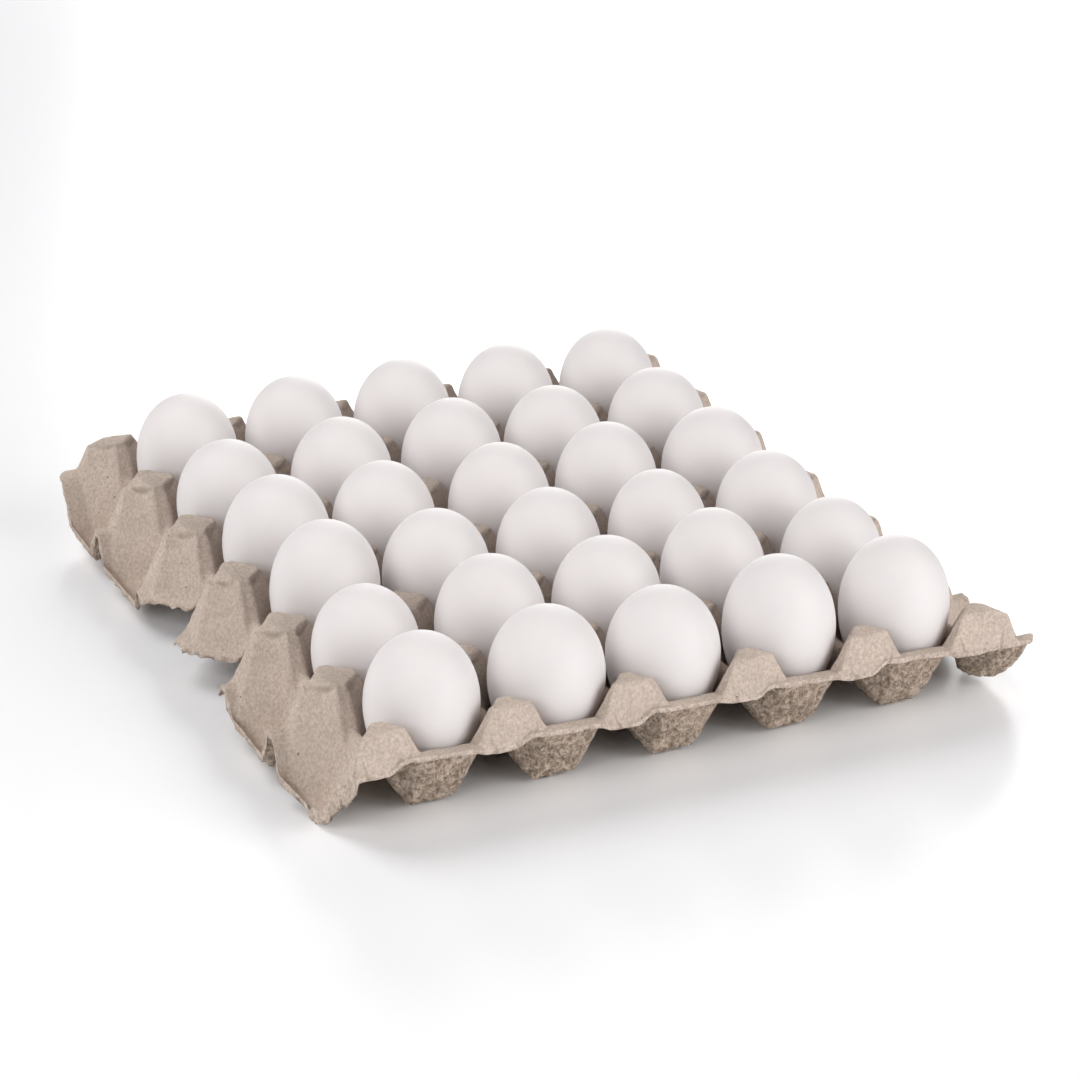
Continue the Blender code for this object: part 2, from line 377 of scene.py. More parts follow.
def dish_relief(x, y, depth):
    """The hollow that clears an egg, and a level above everything outside the egg's own width."""
    spread = np.hypot(x - cup_line(x, COLUMNS), y - cup_line(y, ROWS))
    drop = np.sqrt(np.maximum(1 - (spread / DISH_RADIUS) ** 2, 1e-6))
    slope = np.minimum(DISH_HALF_HEIGHT * spread / (DISH_RADIUS**2 * drop), POST_SLOPE)
    hollow = DISH_MIDDLE - DISH_HALF_HEIGHT * drop - depth * np.sqrt(1 + slope**2)
    return np.where(spread < DISH_RADIUS, hollow, POST_TOP)


front = np.linspace(-SIDE_POSTS, SIDE_POSTS, 500)
print("the rim swings up to", round(float(rim_height(front, EDGE_POSTS, 0.0).max()) / MM, 1), "mm")

# %% [markdown]
# Outside the last posts, the sheet falls into shallow pockets whose rims turn up again. Each post on that
# line sends a level tongue out to the rim. A tray warps as it dries, so no two tongues on a side are at
# the same height. One height for all would be simpler, but here each gets its own, row by row.

# %% Tongues
TONGUE_TIPS = (27.0, 23.0, 19.0, 15.5, 11.0, 21.5, 26.5)
TONGUE_HALF_WIDTH = 2.6 * MM
TONGUE_SLOPE = 2.0


def tongue_relief(x, y, depth):
    """A level ridge from each side post to the rim."""
    from_y = np.abs(y - post_line(y, ROWS))
    tips = np.array(TONGUE_TIPS) * MM
    tip = tips[np.rint(y / PITCH + ROWS / 2).astype(int)]
    fall = np.maximum(from_y - TONGUE_HALF_WIDTH, 0)
    return tip - fall * TONGUE_SLOPE - depth * np.where(fall > 0, math.hypot(1, TONGUE_SLOPE), 1)


print(len(TONGUE_TIPS), "tongues on each side, at", TONGUE_TIPS, "mm")

# %% [markdown]
# The two pockets in the middle of a side are the ones that the finger grips cut away, and their trimmed
# edges flare out a little. The one at each corner closes with a sloping end. Each kind could be a relief
# of its own, but they share most of their planes, so one function picks what each of them needs.

# %% Pockets
POCKET_FLOOR = 4.0 * MM
POCKET_WALL_SLOPE = 2.1
POCKET_END = 6.0 * MM
POCKET_END_SLOPE = 1.35
POCKET_RIM_START = 137.2 * MM
POCKET_RIM_SLOPE = 1.25
LIP_HEIGHT = 14.5 * MM
LIP_SLOPE = 0.6


def pocket_relief(x, y, depth):
    """The pockets and tongues outside the last line of posts."""
    out = np.abs(x) - SIDE_POSTS
    inner = lowered(SADDLE - out * POCKET_WALL_SLOPE, POCKET_WALL_SLOPE, depth)
    rim = lowered(POCKET_FLOOR + (np.abs(x) - POCKET_RIM_START) * POCKET_RIM_SLOPE, POCKET_RIM_SLOPE, depth)
    grip = np.abs(y) < PITCH
    floor = smooth_max(rim, POCKET_FLOOR - depth, ROUND)
    height = smooth_max(inner, np.where(grip, POCKET_FLOOR - depth, floor), SOFT)
    beside = np.abs(y - cup_line(y, ROWS))
    end = lowered(POCKET_FLOOR + (beside - POCKET_END) * POCKET_END_SLOPE, POCKET_END_SLOPE, depth)
    height = np.where(np.abs(y) > LAST_CUPS, smooth_max(height, end, ROUND), height)
    height = smooth_max(height, tongue_relief(x, y, depth), ROUND)
    height = smooth_min(height, SADDLE - depth, ROUND)
    reach = out + HALF - beside
    lip = lowered(LIP_HEIGHT + (GRIP_REACH - reach) / math.sqrt(2) * LIP_SLOPE, LIP_SLOPE, depth)
    return np.where(grip, smooth_max(height, lip, ROUND), height)


print("pocket floors at about", round(POCKET_FLOOR / MM, 1), "mm")

# %% [markdown]
# One corner of this tray is torn and folded down, and the other three stand out level. It could be bent
# down after the sheet is lifted, but that would pinch the wall along the bend. So the fold is one more
# plane, steeper than all the others, which takes over past its start.
#
# The last function puts the parts together: the posts, the cups with the dish that clears each egg, the
# sides and the fold, all held up by the table under the feet.

# %% The fold, and the whole relief
FOLD_START = 13.0 * MM
FOLD_SLOPE = 4.3


def fold_relief(x, y, depth):
    """The plane that the front left corner is folded down along, and a level above all elsewhere."""
    out = -x - SIDE_POSTS
    fold = lowered(SADDLE - (out - FOLD_START) * FOLD_SLOPE, FOLD_SLOPE, depth)
    folded = (out > 0) & (y < -EDGE_POSTS + HALF)
    return np.where(folded, fold, 2 * POST_TOP)


def tray_relief(x, y, depth):
    """Height of the tray's upper face, or of the face that lies depth under it."""
    rim = rim_height(x, y, depth)
    post = post_relief(x, y, rim, depth)
    inside = smooth_max(post, cup_relief(x, y, rim, depth), ROUND)
    inside = smooth_min(inside, dish_relief(x, y, depth), CRISP)
    outside = smooth_max(post, pocket_relief(x, y, depth), ROUND)
    outside = smooth_min(outside, fold_relief(x, y, depth), ROUND)
    height = np.where(np.abs(x) > SIDE_POSTS, outside, inside)
    return smooth_max(height, WALL - depth, FLOOR_ROUND)


print("a cup's floor is", round(float(tray_relief(0.0, HALF, 0.0)) / MM, 1), "mm above the table")

# %% [markdown]
# ## The wall
#
# The wall is an extrusion of the whole sheet. Extruding a flat sheet leaves the first faces below and
# joins the two with a band round the rim, so it closes the body in one step. A Solidify modifier on the
# lifted tray could do it too, but its two faces would cross in the sharp valleys. The rim's two edges are
# bevelled while the slab is flat. Then every face gets the finish that it will have: smooth felt above,
# rough pulp below, loose fibre on the rim.

# %% Give the sheet its wall
RIM_BEVEL = 0.5 * MM
RIM_ANGLE = math.radians(80)
LEVEL = 0.99
FELT_FACE, ROUGH_FACE, RIM_FACE = 0, 1, 2


def edit(piece, *steps):
    """Runs operators on everything in a piece, in edit mode."""
    deselect()
    bpy.context.view_layer.objects.active = piece
    piece.select_set(True)
    bpy.ops.object.mode_set(mode="EDIT")
    bpy.ops.mesh.select_all(action="SELECT")
    for step in steps:
        step()
    bpy.ops.object.mode_set(mode="OBJECT")


def raise_wall():
    bpy.ops.mesh.extrude_region_move(TRANSFORM_OT_translate={"value": (0, 0, WALL)})


def outwards():
    bpy.ops.mesh.normals_make_consistent(inside=False)


def bevel_rim():
    bpy.ops.mesh.select_all(action="DESELECT")
    bpy.ops.mesh.select_mode(type="EDGE")
    bpy.ops.mesh.edges_select_sharp(sharpness=RIM_ANGLE)
    bpy.ops.mesh.bevel(offset=RIM_BEVEL, segments=2, clamp_overlap=True)
    bpy.ops.mesh.select_mode(type="VERT")


edit(tray, raise_wall, outwards, bevel_rim)
for finish in ("felt", "rough_pulp", "loose_fibre"):
    tray.data.materials.append(bpy.data.materials.new(finish))
for face in tray.data.polygons:
    upward = face.normal.z
    face.material_index = FELT_FACE if upward > LEVEL else ROUGH_FACE if upward < -LEVEL else RIM_FACE
print("slab", len(tray.data.polygons), "faces")

# %% [markdown]
# The faces that show most are subdivided: the posts, the flanks and the outer sides of the feet. They
# carry crisp edges and lumps that the rest of the sheet, under the eggs, can do without. The tops of the
# outer posts and the outer walls of the feet are split once more. A finer grid all over would be simpler,
# but it would cost several times as many faces.

# %% Refine what shows
TOP_LAYER, BOTTOM_LAYER = 0.99 * WALL, 0.01 * WALL
BORDER = 11 * MM
POST_REACH = 12 * MM
RIM_STRIP = 1.0 * MM
CREST_REACH, CREST_WIDTH, CREST_CORNER = 10 * MM, 12 * MM, 15 * MM
FOOT_REACH = 15 * MM
FEET_FROM, FOOT_WALLS_FROM = LAST_CUPS - 4 * MM, LAST_CUPS + 7 * MM


def refine(sheet, test):
    """Splits each face that passes the test in four."""
    select_faces(sheet, test)
    bpy.ops.object.mode_set(mode="EDIT")
    bpy.ops.mesh.subdivide(number_cuts=1)
    bpy.ops.object.mode_set(mode="OBJECT")


def on_top(point):
    return point.z > TOP_LAYER


def underneath(point):
    return point.z < BOTTOM_LAYER


def shows_above(point):
    """Posts, flanks and rims on the upper face of the flat slab."""
    if not on_top(point):
        return False
    if abs(point.x) > SIDE_POSTS - BORDER or abs(point.y) > EDGE_POSTS - BORDER:
        return True
    beside = abs(point.x - post_line(point.x, COLUMNS)) + abs(point.y - post_line(point.y, ROWS))
    return beside < POST_REACH


def shows_below(point):
    """The outer sides of the feet along the front and the back, on the lower face of the slab."""
    row = FEET_FROM < abs(point.y) < EDGE_REACH - RIM_STRIP
    return underneath(point) and row and abs(point.x) < SIDE_POSTS + HALF - RIM_STRIP


def crest(point):
    """The tops and upper sides of the posts on the outer lines."""
    if not on_top(point) or abs(point.y) > EDGE_REACH - RIM_STRIP:
        return False
    if abs(point.x) < SIDE_POSTS - CREST_REACH and abs(point.y) < EDGE_POSTS - CREST_REACH:
        return False
    from_x = abs(point.x - post_line(point.x, COLUMNS))
    from_y = abs(point.y - post_line(point.y, ROWS))
    return from_x < CREST_WIDTH and from_y < CREST_REACH and from_x + from_y < CREST_CORNER


def foot_wall(point):
    """The outer wall of each foot along the front and the back, on the lower face."""
    outer = FOOT_WALLS_FROM < abs(point.y) < EDGE_REACH - 2 * RIM_STRIP
    return underneath(point) and outer and abs(point.x - cup_line(point.x, COLUMNS)) < FOOT_REACH


refine(tray, shows_above)
refine(tray, shows_below)
refine(tray, crest)
refine(tray, foot_wall)
print("refined slab", len(tray.data.polygons), "faces")

# %% [markdown]
# The rim was trimmed while the pulp was damp, so it frays. A Displace modifier could roughen it, but it
# pushes along one axis or along the normals, and neither points straight in from the rim. Here every
# point near the rim is drawn inwards by an uneven amount, most at the rim itself and nothing a few
# millimetres in, so that no face folds over.

# %% Fray the rim
FRAY, FRAY_SIZE = 1.0 * MM, 5 * MM
SPLIT, SPLIT_SIZE = 0.45 * MM, 2.6 * MM
FRAY_REACH = 5 * MM


def swell(point, size, shift=0.0):
    """Noise between about -1 and 1, with lumps of that size. Each shift gives another noise."""
    return noise.noise(point / size + Vector((shift, 0, 0)))


def rim_ways(slab):
    """Each point of the band round the rim, with its way inwards."""
    ways = {}
    for face in slab.data.polygons:
        if abs(face.normal.z) < 0.01:
            for index in face.vertices:
                ways[index] = ways.get(index, Vector()) - face.normal
    return {index: way.normalized() for index, way in ways.items()}


def fray_rim(slab):
    """Draws the points near the rim inwards, and says how many points the rim has."""
    ways = list(rim_ways(slab).items())
    points = slab.data.vertices
    rim = KDTree(len(ways))
    for number, (index, way) in enumerate(ways):
        rim.insert(points[index].co, number)
    rim.balance()
    found = [rim.find(point.co) for point in points]
    for point, (edge, number, distance) in zip(points, found):
        if distance < FRAY_REACH:
            torn = FRAY * (0.5 + swell(edge, FRAY_SIZE)) + SPLIT * max(swell(edge, SPLIT_SIZE, 9), -0.2)
            point.co += ways[number][1] * max(torn, 0) * (1 - distance / FRAY_REACH)
    return len(ways)


print(fray_rim(tray), "points on the rim")

# %% [markdown]
# Now the slab is lifted. A point's height in the flat slab says how deep it lies in the wall, so one
# function serves both faces and the bevels between them. Proportional editing could pull the posts up by
# hand, but a formula puts them all at the same height.

# %% Lift the slab into its relief
points = read_points(tray)
depths = WALL - points[:, 2]
points[:, 2] = tray_relief(points[:, 0], points[:, 1], depths)
write_points(tray, points)
print("tray shell, top at", round(points[:, 2].max() / MM, 1), "mm")

# %% [markdown]
# ## Lumps
#
# The face that lay on the mould's screen is fairly smooth, and the other, seen from below, is lumpy and
# full of pits. The whole tray is also a little warped and dented from drying. All of these are noise. A
# bump in the material could show them, but not at the outline of a foot. The warp and the dents are the
# same for both faces, so that the wall keeps its thickness, and they leave the feet on the table.

# %% Push the surface about
WARP, WARP_SIZE = 0.55 * MM, 30 * MM
DENT, DENT_SIZE = 0.25 * MM, 11 * MM
FELT, FELT_SIZE = 0.22 * MM, 3 * MM
LUMPS, LUMP_SIZE = 0.8 * MM, 4.2 * MM
PITS, PIT_SIZE = 2.0 * MM, 1.9 * MM
PIT_SHAPE = 0.7
FREE_HEIGHT = 20 * MM
LUMPY_BELOW, SMOOTH_ABOVE, SMOOTHED = 17 * MM, 24 * MM, 0.85


def warp(place):
    """Where a point moves when the tray dries: not at all on the table, and fully from half its height."""
    above = Vector((place.x, place.y, 0))
    sway = Vector([swell(above, WARP_SIZE, shift) for shift in (0, 11, 23)])
    dent = Vector([swell(above, DENT_SIZE, shift) for shift in (5, 17, 29)])
    return (sway * WARP + dent * DENT) * min(place.z / FREE_HEIGHT, 1)


def lump(place, normal, depth):
    """How far a point is pushed along its normal: a little above, and by lumps and pits below."""
    if depth < WALL / 2:
        return normal * FELT * swell(place, FELT_SIZE, 7)
    pit = min(PITS * max(-swell(place, PIT_SIZE, 5), 0) ** PIT_SHAPE, WALL / 2)
    lumpy = 1 - SMOOTHED * ease(place.z, LUMPY_BELOW, SMOOTH_ABOVE)
    return normal * (LUMPS * swell(place, LUMP_SIZE, 3) - pit) * lumpy


def pushed(sheet, depths):
    return np.array([
        point.co + warp(point.co) + lump(point.co, point.normal, depth)
        for point, depth in zip(sheet.data.vertices, depths)
    ])


write_points(tray, np.clip(pushed(tray, depths), lowest, highest))
triangles = sum(len(face.vertices) - 2 for face in tray.data.polygons)
print("tray", triangles, "triangles")

# %% [markdown]
# ## Eggs
#
# An egg is a sphere drawn out along its axis and tapered, with the blunt end up. A profile could be spun,
# but a stretched sphere has its poles closed already. So a sphere primitive is stretched, and a Simple
# Deform modifier tapers it. Each cup then gets its own copy, sized, leaned and placed as the frame says.

# %% Model one egg
EGG_GIRTH = 41.0 * MM
EGG_LENGTH = 57.6 * MM
EGG_TAPER = 0.09
EGG_SEGMENTS, EGG_RINGS = 64, 40


def model_egg():
    """An egg of common size, its middle at the origin, blunt end up."""
    deselect()
    bpy.ops.mesh.primitive_uv_sphere_add(segments=EGG_SEGMENTS, ring_count=EGG_RINGS, radius=0.5)
    egg = bpy.context.object
    egg.name = "egg_pattern"
    bpy.ops.object.mode_set(mode="EDIT")
    bpy.ops.mesh.select_all(action="SELECT")
    bpy.ops.transform.resize(value=(EGG_GIRTH, EGG_GIRTH, EGG_LENGTH))
    bpy.ops.object.mode_set(mode="OBJECT")
    taper = egg.modifiers.new("Taper", "SIMPLE_DEFORM")
    taper.deform_method = "TAPER"
    taper.deform_axis = "Z"
    taper.factor = 2 * EGG_TAPER
    bpy.ops.object.modifier_apply(modifier=taper.name)
    bpy.ops.object.shade_smooth()
    return egg


pattern = model_egg()
print("egg", [round(side / MM, 1) for side in pattern.dimensions], "mm")

# %% [markdown]
# Hens' eggs differ by a few millimetres, and they never stand quite upright. Random sizes could do, but
# here the eggs that show well were sized one by one. The three tables hold one digit for each egg, row by
# row from the front, and say how far it is from the common one: 5 is the common girth, the common length
# and upright.

# %% Place the eggs
GIRTH_STEP = 0.5 * MM
LENGTH_STEP = 0.8 * MM
LEAN_STEP = math.radians(0.9)
GIRTHS = ("57665", "25531", "55414", "64456", "55555", "55555")
LENGTHS = ("54398", "25384", "64564", "55573", "35534", "66766")
LEANS = ("56446", "36617", "95434", "83656", "56744", "54555")


def digit(table, row, column):
    return int(table[row][column]) - 5


def place_egg(row, column):
    """A copy of the pattern for one cup, with its size, lean and place in its own mesh."""
    node = f"egg_{row + 1}{column + 1}"
    low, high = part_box(node)
    egg = pattern.copy()
    egg.data = pattern.data.copy()
    egg.name = egg.data.name = f"white_{node}"
    bpy.context.scene.collection.objects.link(egg)
    girth = 1 + digit(GIRTHS, row, column) * GIRTH_STEP / EGG_GIRTH
    length = 1 + digit(LENGTHS, row, column) * LENGTH_STEP / EGG_LENGTH
    lean = Matrix.Rotation(digit(LEANS, row, column) * LEAN_STEP, 4, "Y")
    size = Matrix.Diagonal((girth, girth, length, 1))
    turn = Matrix.Rotation(noise.random() * math.tau, 4, "Z")
    egg.data.transform(Matrix.Translation((Vector(low) + Vector(high)) / 2) @ lean @ size @ turn)
    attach(egg, "root")
    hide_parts(node)
    return egg


noise.seed_set(30)
eggs = [place_egg(row, column) for row in range(ROWS) for column in range(COLUMNS)]
bpy.data.objects.remove(pattern)
print(len(eggs), "eggs")

# %% [markdown]
# ## Finishes
#
# Pulp is waste paper, so its colour is never even: soft blotches, a grain of short fibres, and now and
# then a dark speck. A line of painted shade runs in under the flat top of each post. A photo of pulp
# could be wrapped round the tray, but it would stretch on the steep walls. Noise that reads the place on
# the piece doesn't.
#
# One node group makes these masks and a height for the bumps. Both faces of the tray and its rim use it,
# each with its own strength. A few helpers come first, which add a node and link it in one line.

# %% Helpers for nodes
def add(tree, kind, **inputs):
    """A node with its inputs set by name, or by number as i0 or i1. Another node's output is linked."""
    node = tree.nodes.new(kind)
    for name, value in inputs.items():
        numbered = name[0] == "i" and name[1:].isdigit()
        socket = node.inputs[int(name[1:]) if numbered else name]
        if isinstance(value, bpy.types.NodeSocket):
            tree.links.new(value, socket)
        else:
            socket.default_value = value
    return node


def maths(tree, operation, first, second):
    node = add(tree, "ShaderNodeMath", i0=first, i1=second)
    node.operation = operation
    return node.outputs[0]


def vectors(tree, operation, first, second):
    node = add(tree, "ShaderNodeVectorMath", i0=first, i1=second)
    node.operation = operation
    return node.outputs[0]


def remap(tree, value, low, high):
    """Stretches low to high over 0 to 1, and clamps."""
    node = tree.nodes.new("ShaderNodeMapRange")
    tree.links.new(value, node.inputs["Value"])
    node.inputs["From Min"].default_value = low
    node.inputs["From Max"].default_value = high
    return node.outputs["Result"]


# %% [markdown]
# The grain is fine noise with some short fibres in it. A fibre is noise that is drawn out one way, and
# two such noises lie across each other, because fibres settle at all angles. A wave texture would lay
# them all one way.

# %% Grain and fibres
GRAIN_SCALE, FIBRE_SCALE = 760.0, 480.0
FIBRE_STRETCH = 4.5
FIBRE_SHARE = 0.12


def strokes(tree, place, angle, stretch, scale):
    """Noise drawn out into short strokes that lie at one angle."""
    mapping = add(tree, "ShaderNodeMapping", Vector=place, Rotation=angle, Scale=stretch)
    drawn = add(tree, "ShaderNodeTexNoise", Vector=mapping.outputs[0], Scale=scale, Detail=2.0)
    return remap(tree, drawn.outputs[0], 0.5, 0.72)


def grain_mask(tree, place, coarse):
    """Fine noise with fibres in it. A higher coarseness makes both larger."""
    fine = maths(tree, "DIVIDE", GRAIN_SCALE, coarse)
    grain = add(tree, "ShaderNodeTexNoise", Vector=place, Scale=fine, Detail=5.0, Roughness=0.75).outputs[0]
    scale = maths(tree, "DIVIDE", FIBRE_SCALE, coarse)
    lengthwise = strokes(tree, place, (0.4, 0.3, 0.7), (1.0, FIBRE_STRETCH, 1.0), scale)
    crosswise = strokes(tree, place, (0.2, 0.9, -0.6), (FIBRE_STRETCH, 1.0, 1.0), scale)
    fibres = maths(tree, "MULTIPLY", maths(tree, "ADD", lengthwise, crosswise), FIBRE_SHARE)
    return maths(tree, "ADD", maths(tree, "MULTIPLY", grain, 1 - FIBRE_SHARE), fibres)


for name, scale in (("grain", GRAIN_SCALE), ("fibres", FIBRE_SCALE)):
    print(name, "about", round(1 / scale / MM, 1), "mm")

# %% [markdown]
# A speck is a bit of printed paper that stayed whole in the pulp. A Voronoi texture puts one place in each
# of its cells, and a random number keeps a few of them. Bending the place first gives each speck a torn
# outline, where plain cells would give round dots.

# %% Specks
SPECK_SCALE = 380.0
SPECK_CHOICE = 0.55
SPECK_RADIUS, SPECK_RARITY = 0.16, 4.0
BEND, BEND_SCALE = 0.8 * MM, 1500.0


def speck_mask(tree, place):
    """1 on a few small torn spots, most of them very small."""
    ways = add(tree, "ShaderNodeTexNoise", Vector=place, Scale=BEND_SCALE, Detail=1.0).outputs["Color"]
    bent = vectors(tree, "ADD", place, vectors(tree, "MULTIPLY", ways, (BEND, BEND, BEND)))
    cells = add(tree, "ShaderNodeTexVoronoi", Vector=bent, Scale=SPECK_SCALE)
    chance = add(tree, "ShaderNodeSeparateColor", i0=cells.outputs["Color"])
    kept = maths(tree, "GREATER_THAN", chance.outputs[0], SPECK_CHOICE)
    radius = maths(tree, "MULTIPLY", maths(tree, "POWER", chance.outputs[1], SPECK_RARITY), SPECK_RADIUS)
    spot = remap(tree, maths(tree, "SUBTRACT", cells.outputs["Distance"], radius), 0.05, 0.0)
    return maths(tree, "MULTIPLY", kept, spot)


print("no more than one speck every", round(1 / SPECK_SCALE / MM, 1), "mm")

# %% [markdown]
# The line of painted shade under each post's top follows the posts' own pitch, so it is worked out from
# the place: PINGPONG folds the distance from a post line back and forth. It could be painted on, but a
# formula finds all forty-two posts.

# %% Painted shade in the creases
# Where the line of painted shade lies under each post's top, how wide it is and how long.
PAINTED_SHADE_OUT, PAINTED_SHADE_WIDTH, PAINTED_SHADE_LENGTH = 0.1 * MM, 0.9 * MM, 8.5 * MM


def painted_crease_shade(tree, place, uneven):
    """A line of painted shade along the upper edge of each post's facets. Every half pitch the distances
    repeat, mirrored.
    """
    split = add(tree, "ShaderNodeSeparateXYZ", Vector=place)
    beside = maths(tree, "PINGPONG", maths(tree, "ADD", split.outputs[0], HALF), HALF)
    ahead = maths(tree, "PINGPONG", split.outputs[1], HALF)
    edge = (POST_INRADIUS + PAINTED_SHADE_OUT) * math.sqrt(2)
    past = maths(tree, "SUBTRACT", maths(tree, "ADD", beside, ahead), edge)
    along = maths(tree, "ABSOLUTE", maths(tree, "SUBTRACT", beside, ahead), 0.0)
    line = remap(tree, maths(tree, "ABSOLUTE", past, 0.0), PAINTED_SHADE_WIDTH, 0.1 * PAINTED_SHADE_WIDTH)
    ends = remap(tree, along, PAINTED_SHADE_LENGTH, 0.7 * PAINTED_SHADE_LENGTH)
    return maths(tree, "MULTIPLY", maths(tree, "MULTIPLY", line, ends), remap(tree, uneven, 0.35, 0.6))


print("creases for", (COLUMNS + 1) * (ROWS + 1), "posts")

# %% [markdown]
# The group puts the masks together. Its one input makes the grain finer or coarser. Its outputs are
# masks and a height only, and each material decides what colour they get.

# %% A group of pulp masks
BLOTCH_SCALE = 110.0
SPECK_SINK = 0.3


def pulp_group():
    """Four masks from 0 to 1, and Height, which is in parts of the bump's distance."""
    group = bpy.data.node_groups.new("pulp_masks", "ShaderNodeTree")
    group.interface.new_socket("Coarseness", in_out="INPUT", socket_type="NodeSocketFloat")
    for name in ("Blotch", "Grain", "Speck", "Crease", "Height"):
        group.interface.new_socket(name, in_out="OUTPUT", socket_type="NodeSocketFloat")
    coarse = group.nodes.new("NodeGroupInput").outputs["Coarseness"]
    place = group.nodes.new("ShaderNodeTexCoord").outputs["Object"]
    blotch = add(group, "ShaderNodeTexNoise", Vector=place, Scale=BLOTCH_SCALE, Detail=4.0).outputs[0]
    grain = grain_mask(group, place, coarse)
    speck = speck_mask(group, place)
    masks = {
        "Blotch": remap(group, blotch, 0.3, 0.7),
        "Grain": remap(group, grain, 0.36, 0.58),
        "Speck": speck,
        "Crease": painted_crease_shade(group, place, blotch),
        "Height": maths(group, "SUBTRACT", grain, maths(group, "MULTIPLY", speck, SPECK_SINK)),
    }
    add(group, "NodeGroupOutput", **masks)
    return group


pulp_masks = pulp_group()
print("group", pulp_masks.name, len(pulp_masks.nodes), "nodes")

# %% [markdown]
# Each pulp finish mixes its colours through those masks, and the height becomes a fine bump on top of
# the modelled lumps. Three materials could be built by hand, but one function keeps them alike. Dry paper
# has almost no shine.

# %% Pulp
PULP = (0.63, 0.524, 0.452)
ROUGH_PULP = (0.78, 0.64, 0.53)
DULL, BRIGHT = 0.93, 1.05
WARM_SHADE = (0.92, 1.0, 1.08)
# The second tone is painted shade for the line under each post's top; the first is the specks' own colour.
SPECK_TONE, PAINTED_CREASE_SHADE_TONE = 0.45, 0.78


def mixed(tree, mask, first, second):
    """A colour between two others. Each may be a colour or a node's output."""
    node = tree.nodes.new("ShaderNodeMix")
    node.data_type = "RGBA"
    tree.links.new(mask, node.inputs[0])
    for number, colour in ((6, first), (7, second)):
        if isinstance(colour, bpy.types.NodeSocket):
            tree.links.new(colour, node.inputs[number])
        else:
            node.inputs[number].default_value = (*colour, 1)
    return node.outputs[2]


def scaled(colour, factor):
    return tuple(channel * factor for channel in colour)


def pulp_finish(made, colour, coarseness, contrast, depth):
    """Fills a material with one pulp finish. contrast darkens the grain's low places, partly as the pulp's
    own tone and partly as painted shade in its pits.
    """
    made.use_nodes = True
    tree = made.node_tree
    shader = tree.nodes["Principled BSDF"]
    masks = tree.nodes.new("ShaderNodeGroup")
    masks.node_tree = pulp_masks
    masks.inputs["Coarseness"].default_value = coarseness
    blotched = mixed(tree, masks.outputs["Blotch"], scaled(colour, DULL), scaled(colour, BRIGHT))
    # The grain's low places are darker, partly as the pulp's own tone and partly as painted shade in the
    # pits, most on the rough underside.
    low = tuple(channel * (1 - contrast * share) for channel, share in zip(colour, WARM_SHADE))
    dark = mixed(tree, masks.outputs["Blotch"], scaled(low, DULL), low)
    grained = mixed(tree, masks.outputs["Grain"], dark, blotched)
    specked = mixed(tree, masks.outputs["Speck"], grained, scaled(colour, SPECK_TONE))
    # Painted shade: a darker line where shade would gather under each post's flat top.
    crease_shaded = mixed(tree, masks.outputs["Crease"], specked, scaled(low, PAINTED_CREASE_SHADE_TONE))
    tree.links.new(crease_shaded, shader.inputs["Base Color"])
    shader.inputs["Roughness"].default_value = 0.95
    shader.inputs["Specular IOR Level"].default_value = 0.2
    bump = add(tree, "ShaderNodeBump", Strength=1.0, Distance=depth, Height=masks.outputs["Height"])
    tree.links.new(bump.outputs[0], shader.inputs["Normal"])


felt, rough_pulp, loose_fibre = tray.data.materials
pulp_finish(felt, PULP, coarseness=0.9, contrast=0.26, depth=0.6 * MM)
pulp_finish(rough_pulp, ROUGH_PULP, coarseness=1.6, contrast=0.64, depth=2.2 * MM)
pulp_finish(loose_fibre, scaled(PULP, 1.10), coarseness=1.2, contrast=0.40, depth=1.0 * MM)
print("finishes", [made.name for made in tray.data.materials])

# %% [markdown]
# An eggshell is matt with a faint sheen, and its white is a little warm. Some light goes into it and
# comes out beside, which softens its shade. Plain white paint would look harder. Its pores are too small
# to model, so they are a bump.

# %% Eggshell
SHELL = (0.725, 0.69, 0.685)


def shell_finish():
    """White shell with faint clouds, and light that spreads under its surface."""
    made = bpy.data.materials.new("shell")
    made.use_nodes = True
    tree = made.node_tree
    shader = tree.nodes["Principled BSDF"]
    place = tree.nodes.new("ShaderNodeTexCoord").outputs["Object"]
    cloud = add(tree, "ShaderNodeTexNoise", Vector=place, Scale=60.0, Detail=3.0).outputs[0]
    colour = mixed(tree, remap(tree, cloud, 0.3, 0.7), scaled(SHELL, 0.985), SHELL)
    tree.links.new(colour, shader.inputs["Base Color"])
    shader.inputs["Roughness"].default_value = 0.55
    shader.inputs["Specular IOR Level"].default_value = 0.3
    shader.inputs["Subsurface Weight"].default_value = 0.4
    shader.inputs["Subsurface Radius"].default_value = (1.0, 0.85, 0.75)
    shader.inputs["Subsurface Scale"].default_value = 10 * MM
    pores = add(tree, "ShaderNodeTexNoise", Vector=place, Scale=1800.0, Detail=1.0).outputs[0]
    bump = add(tree, "ShaderNodeBump", Strength=0.25, Distance=0.03 * MM, Height=pores)
    tree.links.new(bump.outputs[0], shader.inputs["Normal"])
    return made


shell = shell_finish()
for egg in eggs:
    egg.data.materials.append(shell)
print("shell on", len(eggs), "eggs")

# %% [markdown]
# ## The tray on its frame
#
# The eggs have their places in the frame already. The tray gets its own now: it rides on the same body
# and stands in for the frame's plain tray. Its faces are shaded smooth, because its edges are rounded in
# the mesh itself and need no sharp marks.

# %% Put the tray on its frame
deselect()
bpy.context.view_layer.objects.active = tray
tray.select_set(True)
bpy.ops.object.shade_smooth()
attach(tray, "root")
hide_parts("tray")
print(tray.name, "with", len(tray.data.vertices), "points")

# %% [markdown]
# ## Floor
#
# The tray stands on a white table that runs on out of sight. A curved paper sweep would hide the line at
# the back, but from this height the camera sees only the table, so a large plane is enough. It has a
# faint sheen, and it lies a hair under the feet, so that no two faces share a place.

# %% Floor
FLOOR_SIDE = 6
FLOOR_GAP = 0.2 * MM
FLOOR_WHITE = (0.9, 0.9, 0.91)

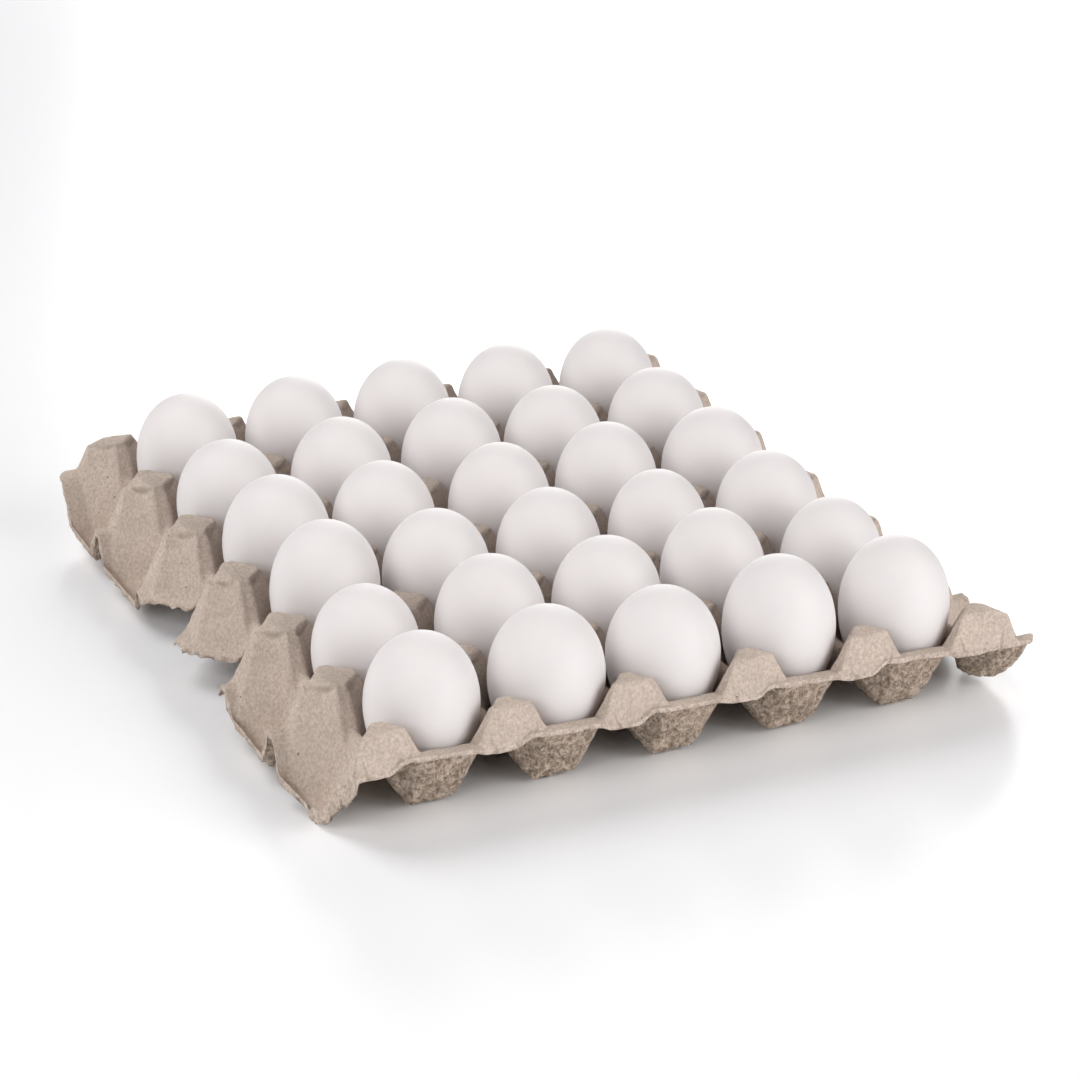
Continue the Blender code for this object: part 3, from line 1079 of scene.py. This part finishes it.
deselect()
bpy.ops.mesh.primitive_plane_add(size=FLOOR_SIDE, location=(0, 0, -FLOOR_GAP))
floor = bpy.context.object
floor.name = "floor"
floor_white = bpy.data.materials.new("floor_white")
floor_white.use_nodes = True
floor_shader = floor_white.node_tree.nodes["Principled BSDF"]
floor_shader.inputs["Base Color"].default_value = (*FLOOR_WHITE, 1)
floor_shader.inputs["Roughness"].default_value = 0.3
floor.data.materials.append(floor_white)
print("floor", FLOOR_SIDE, "m wide")

# %% [markdown]
# ## Light
#
# The light is soft and comes from all round, so each egg has only a pale shade, while the gaps under the
# tray stay dark. One large lamp could be enough, but it would leave the far sides grey. So five square
# lamps stand round the tray, all aimed at its middle. The low one at the front lights the feet, and a
# weak world fills in the rest.

# %% Light
STUDIO_REACH = 1.5
LAMP_SIDE = 0.9
WORLD_STRENGTH = 0.10
LAMPS = (
    ("key", 45, 30, 12.4),
    ("front", 25, 8, 7.5),
    ("left", -60, 30, 11.5),
    ("far left", -135, 50, 12.0),
    ("behind", 150, 15, 12.0),
)


def soft_lamp(name, azimuth, elevation, power):
    """A square lamp aimed at the tray. azimuth is in degrees from the front towards the right."""
    across, up = math.radians(azimuth), math.radians(elevation)
    direction = Vector((math.sin(across) * math.cos(up), -math.cos(across) * math.cos(up), math.sin(up)))
    lamp = bpy.data.lights.new(name, "AREA")
    lamp.shape = "RECTANGLE"
    lamp.size = lamp.size_y = LAMP_SIDE
    lamp.energy = power
    holder = bpy.data.objects.new(name, lamp)
    holder.location = direction * STUDIO_REACH
    holder.rotation_euler = (-direction).to_track_quat("-Z", "Y").to_euler()
    bpy.context.scene.collection.objects.link(holder)


for lamp_row in LAMPS:
    soft_lamp(*lamp_row)
world = bpy.data.worlds.new("studio")
bpy.context.scene.world = world
world.use_nodes = True
world.node_tree.nodes["Background"].inputs["Color"].default_value = (0.99, 0.99, 1.0, 1)
world.node_tree.nodes["Background"].inputs["Strength"].default_value = WORLD_STRENGTH
bpy.context.scene.view_settings.view_transform = "Standard"
print(len(LAMPS), "lamps,", round(sum(power for *_, power in LAMPS), 1), "W in all")

# %% [markdown]
# ## Camera
#
# The camera looks down a little from the front left, from about 1.4 metres away. Its place and lens were
# fitted to the outlines of the eggs and the posts. It could be aimed with a Track To constraint, but
# written as angles round a point it can be read and changed, and it may roll by a degree.

# %% Camera
VIEW_AZIMUTH = math.radians(-25.79)
VIEW_ELEVATION = math.radians(24.35)
VIEW_ROLL = math.radians(1.0)
VIEW_DISTANCE = 1.3881
VIEW_AIM = Vector((0.03657, 0.06105, 0))
LENS, SENSOR = 112.37, 36

camera = bpy.data.objects.new("camera", bpy.data.cameras.new("camera"))
bpy.context.scene.collection.objects.link(camera)
camera.data.lens = LENS
camera.data.sensor_width = SENSOR
back = Vector((
    math.sin(VIEW_AZIMUTH) * math.cos(VIEW_ELEVATION),
    -math.cos(VIEW_AZIMUTH) * math.cos(VIEW_ELEVATION),
    math.sin(VIEW_ELEVATION),
))
camera.location = VIEW_AIM + back * VIEW_DISTANCE
turn = Matrix.Rotation(VIEW_AZIMUTH, 3, "Z") @ Matrix.Rotation(math.pi / 2 - VIEW_ELEVATION, 3, "X")
camera.rotation_euler = (turn @ Matrix.Rotation(VIEW_ROLL, 3, "Z")).to_euler()
bpy.context.scene.camera = camera
print("camera at", [round(value, 3) for value in camera.location])
